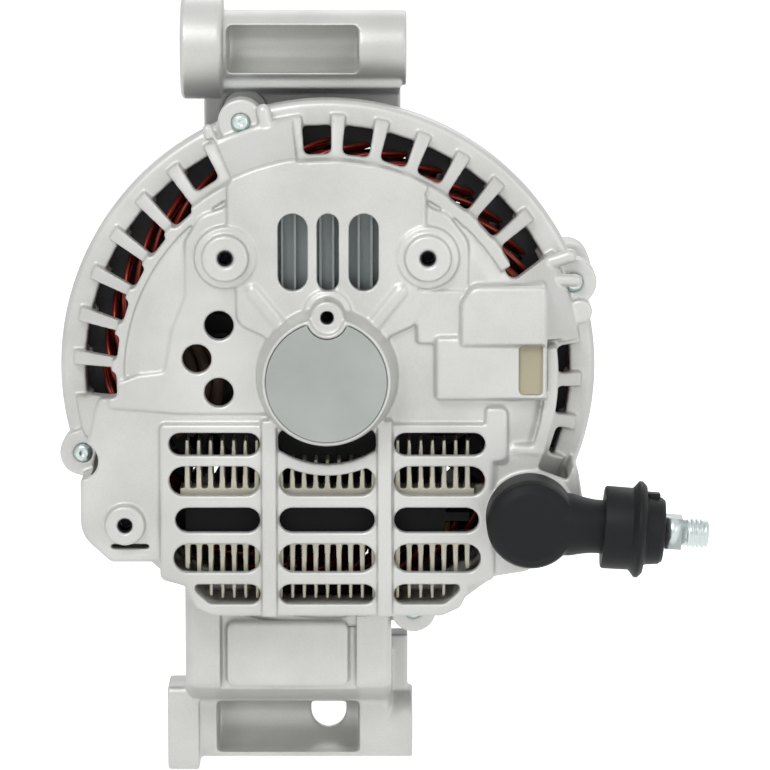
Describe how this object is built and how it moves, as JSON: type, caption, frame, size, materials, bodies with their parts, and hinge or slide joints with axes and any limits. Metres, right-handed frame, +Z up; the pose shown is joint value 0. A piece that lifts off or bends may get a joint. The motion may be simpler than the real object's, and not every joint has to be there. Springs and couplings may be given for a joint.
{
  "type": "vehicle alternator",
  "caption": "Vehicle alternator with a slotted, grilled rear bracket, two crosswise mounting barrels, a ribbed belt pulley, claw-pole rotor and side output stud under a rubber boot.",
  "frame": {"origin": "on the rotor's axis, in the middle plane of the pulley's belt track", "axes": "+Y along the rotor's axis towards the pulley end, +X along both mounting barrels towards the output stud's side, +Z up towards the upper barrel; the rear face with the grille looks along -Y"},
  "size_m": [0.1786, 0.1572, 0.2189],
  "materials": {
    "cast_aluminium": "satin die casting",
    "sink_aluminium": "satin extrusion",
    "zinc_steel": "satin zinc plating",
    "bearing_steel": "ground, glossy",
    "core_steel": "matte laminated or forged",
    "pulley_steel": "satin black phosphate",
    "cap_steel": "satin plate",
    "enamelled_copper": "glossy enamel over copper",
    "bare_copper": "bright",
    "black_plastic": "matte moulding",
    "cream_plastic": "matte moulding",
    "black_rubber": "satin rubber",
    "carbon": "dull carbon"
  },
  "bodies": {
    "housing": {"rear_bracket": "cast_aluminium", "front_bracket": "cast_aluminium", "upper_mount_lug": "cast_aluminium", "lower_mount_lug": "cast_aluminium", "through_bolts": "zinc_steel", "rear_cap": "cap_steel", "front_bearing_retainer": "bearing_steel", "retainer_screws": "zinc_steel", "stator_core": "core_steel", "stator_winding": "enamelled_copper", "rectifier_upper_heatsink": "sink_aluminium", "rectifier_lower_heatsink": "sink_aluminium", "rectifier_diodes": "bare_copper", "rectifier_terminal_board": "black_plastic", "rectifier_screw": "zinc_steel", "regulator_case": "black_plastic", "regulator_screws": "zinc_steel", "regulator_heatsink": "sink_aluminium", "brush_holder": "black_plastic", "connector_socket": "cream_plastic", "connector_pins": "bare_copper", "b_plus_post": "zinc_steel", "b_plus_insulator": "black_plastic", "b_plus_nut": "zinc_steel", "terminal_arm": "zinc_steel", "terminal_boot": "black_rubber", "terminal_shroud": "black_rubber", "brush_spring_1": "bearing_steel", "brush_spring_2": "bearing_steel", "front_bearing_outer_race": "bearing_steel", "front_bearing_seals": "black_rubber", "rear_bearing_outer_race": "bearing_steel", "rear_bearing_seals": "black_rubber"},
    "rotor": {"rotor_shaft": "bearing_steel", "claw_pole_front": "core_steel", "claw_pole_rear": "core_steel", "field_bobbin": "black_plastic", "field_winding": "enamelled_copper", "front_fan": "zinc_steel", "rear_fan": "zinc_steel", "slip_rings": "bare_copper", "slip_ring_insulator": "black_plastic", "front_bearing_inner_race": "bearing_steel", "rear_bearing_inner_race": "bearing_steel", "pulley": "pulley_steel", "pulley_spacer": "bearing_steel", "pulley_washer": "zinc_steel", "pulley_nut": "zinc_steel"},
    "front_cage": {"front_bearing_balls": "bearing_steel", "front_bearing_cage": "bearing_steel"},
    "rear_cage": {"rear_bearing_balls": "bearing_steel", "rear_bearing_cage": "bearing_steel"},
    "brush_one": {"brush_1": "carbon"},
    "brush_two": {"brush_2": "carbon"}
  },
  "joints": [
    {"name": "rotor_spin", "type": "hinge", "parent": "housing", "child": "rotor", "pos_m": [0, 0, 0], "axis": [0, 1, 0], "continuous": true},
    {"name": "front_cage_spin", "type": "hinge", "parent": "housing", "child": "front_cage", "pos_m": [0, 0, 0], "axis": [0, 1, 0], "continuous": true},
    {"name": "rear_cage_spin", "type": "hinge", "parent": "housing", "child": "rear_cage", "pos_m": [0, 0, 0], "axis": [0, 1, 0], "continuous": true},
    {"name": "brush_1_slide", "type": "slide", "parent": "housing", "child": "brush_one", "axis": [0, 0, 1], "range_m": [0, 0.003], "stiffness_N_per_m": 300, "springref_m": -0.006, "deforming": ["brush_spring_1"]},
    {"name": "brush_2_slide", "type": "slide", "parent": "housing", "child": "brush_two", "axis": [0, 0, 1], "range_m": [0, 0.003], "stiffness_N_per_m": 300, "springref_m": -0.006, "deforming": ["brush_spring_2"]}
  ],
  "couplings": [
    {"joint": "front_cage_spin", "follows": "rotor_spin", "ratio": 0.36562},
    {"joint": "rear_cage_spin", "follows": "rotor_spin", "ratio": 0.36452}
  ]
}
